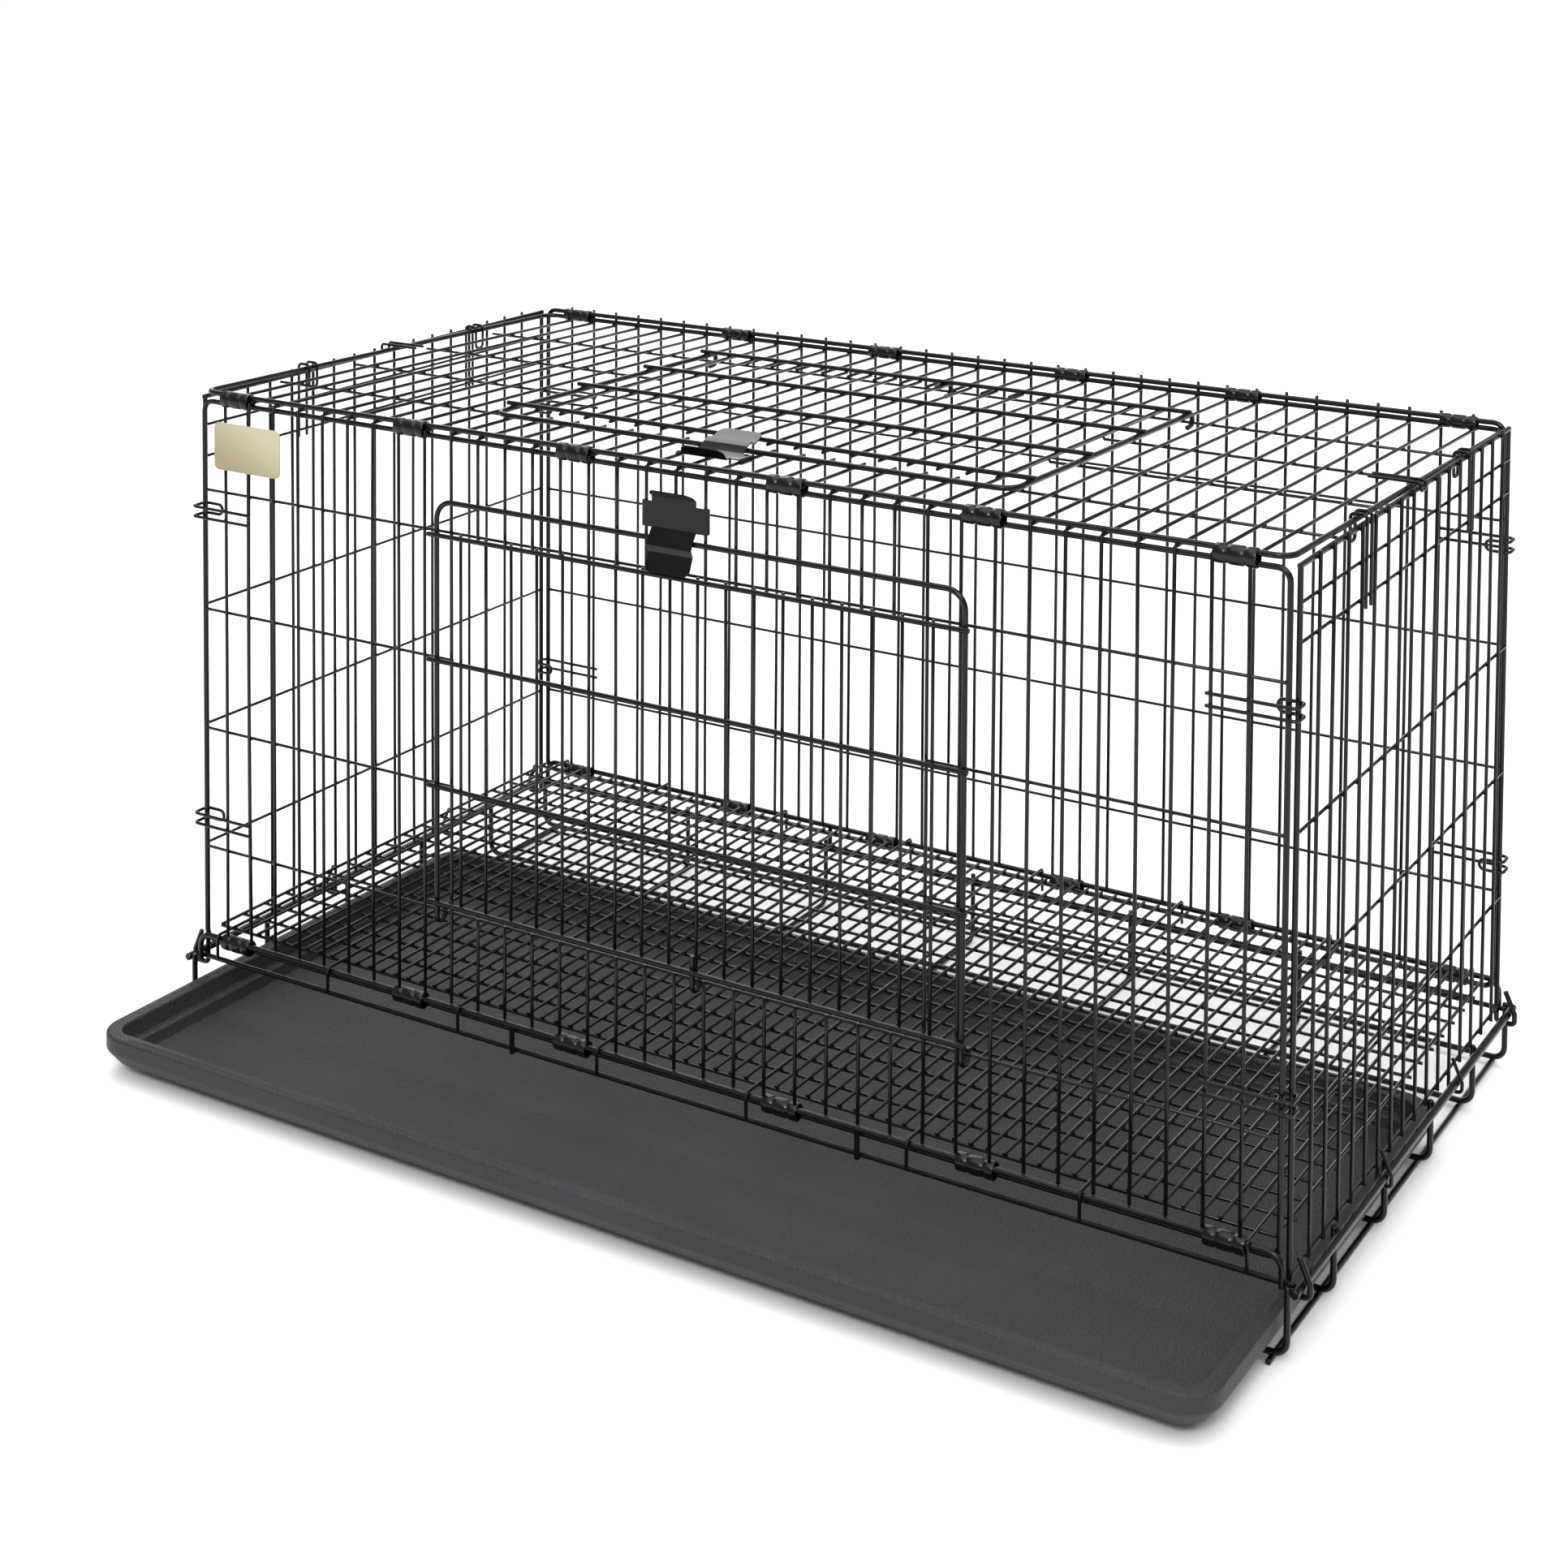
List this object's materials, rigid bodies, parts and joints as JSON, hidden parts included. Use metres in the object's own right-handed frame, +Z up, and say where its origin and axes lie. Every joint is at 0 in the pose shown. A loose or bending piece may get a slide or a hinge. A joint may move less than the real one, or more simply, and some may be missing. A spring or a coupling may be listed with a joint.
{
  "type": "folding wire pet cage",
  "caption": "Black folding wire pet cage with a front door, a top door, wire floor and a slide-out tray.",
  "frame": {"origin": "on the ground under the middle of the cage", "axes": "+Z up, the front door faces -Y, +X to the right seen from the front"},
  "size_m": [0.9556, 0.615, 0.5236],
  "materials": {
    "black_wire": "gloss",
    "black_sheet": "gloss",
    "black_clip": "satin",
    "charcoal_plastic": "textured",
    "cream_label": "satin"
  },
  "bodies": {
    "cage": {"back_corner_hairpins": "black_wire", "back_panel_border": "black_wire", "back_panel_cross_wires": "black_wire", "back_panel_uprights": "black_wire", "base_frame_back": "black_wire", "base_frame_front": "black_wire", "base_rod_left": "black_wire", "base_rod_right": "black_wire", "bottom_back_clips": "black_clip", "bottom_front_clips": "black_clip", "front_corner_hairpins": "black_wire", "front_panel_border": "black_wire", "front_panel_cross_wires": "black_wire", "front_panel_uprights": "black_wire", "ground_bar_left": "black_wire", "ground_bar_right": "black_wire", "ground_runners": "black_wire", "ground_wires": "black_wire", "label_plate": "cream_label", "left_top_keeper": "black_wire", "right_top_keeper": "black_wire", "top_back_clips": "black_clip", "top_front_clips": "black_clip", "top_panel_border": "black_wire", "top_panel_cross_wires": "black_wire", "top_panel_mesh_wires": "black_wire"},
    "front_door": {"front_door": "black_wire"},
    "top_door": {"top_door": "black_wire"},
    "front_latch": {"front_latch": "black_sheet"},
    "top_latch": {"top_latch": "black_sheet"},
    "left_end": {"left_end_panel": "black_wire", "left_end_hairpins": "black_wire"},
    "right_end": {"right_end_panel": "black_wire", "right_end_hairpins": "black_wire"},
    "floor": {"floor_long_wires": "black_wire", "floor_short_wires": "black_wire", "floor_hook_wires": "black_wire"},
    "tray": {"slide_out_tray": "charcoal_plastic"}
  },
  "joints": [
    {"name": "front_door_hinge", "type": "hinge", "parent": "cage", "child": "front_door", "pos_m": [0, -0.23825, 0.1418], "axis": [1, 0, 0], "range_deg": [0, 105]},
    {"name": "top_door_hinge", "type": "hinge", "parent": "cage", "child": "top_door", "pos_m": [0, 0.14687, 0.50281], "axis": [-1, 0, 0], "range_deg": [0, 105]},
    {"name": "front_latch_slide", "type": "slide", "parent": "cage", "child": "front_latch", "axis": [0, 0, 1], "range_m": [0, 0.026]},
    {"name": "top_latch_slide", "type": "slide", "parent": "cage", "child": "top_latch", "axis": [0, -0.9999, 0.0173], "range_m": [0, 0.026]},
    {"name": "left_end_lift", "type": "slide", "parent": "cage", "child": "left_end", "axis": [0, 0, 1], "range_m": [0, 0.0018]},
    {"name": "right_end_lift", "type": "slide", "parent": "cage", "child": "right_end", "axis": [0, 0, 1], "range_m": [0, 0.0018]},
    {"name": "floor_lift", "type": "slide", "parent": "cage", "child": "floor", "axis": [0, 0, 1], "range_m": [0, 0.015]},
    {"name": "tray_slide", "type": "slide", "parent": "cage", "child": "tray", "axis": [0, 1, 0], "range_m": [-0.095, 0.136]}
  ]
}
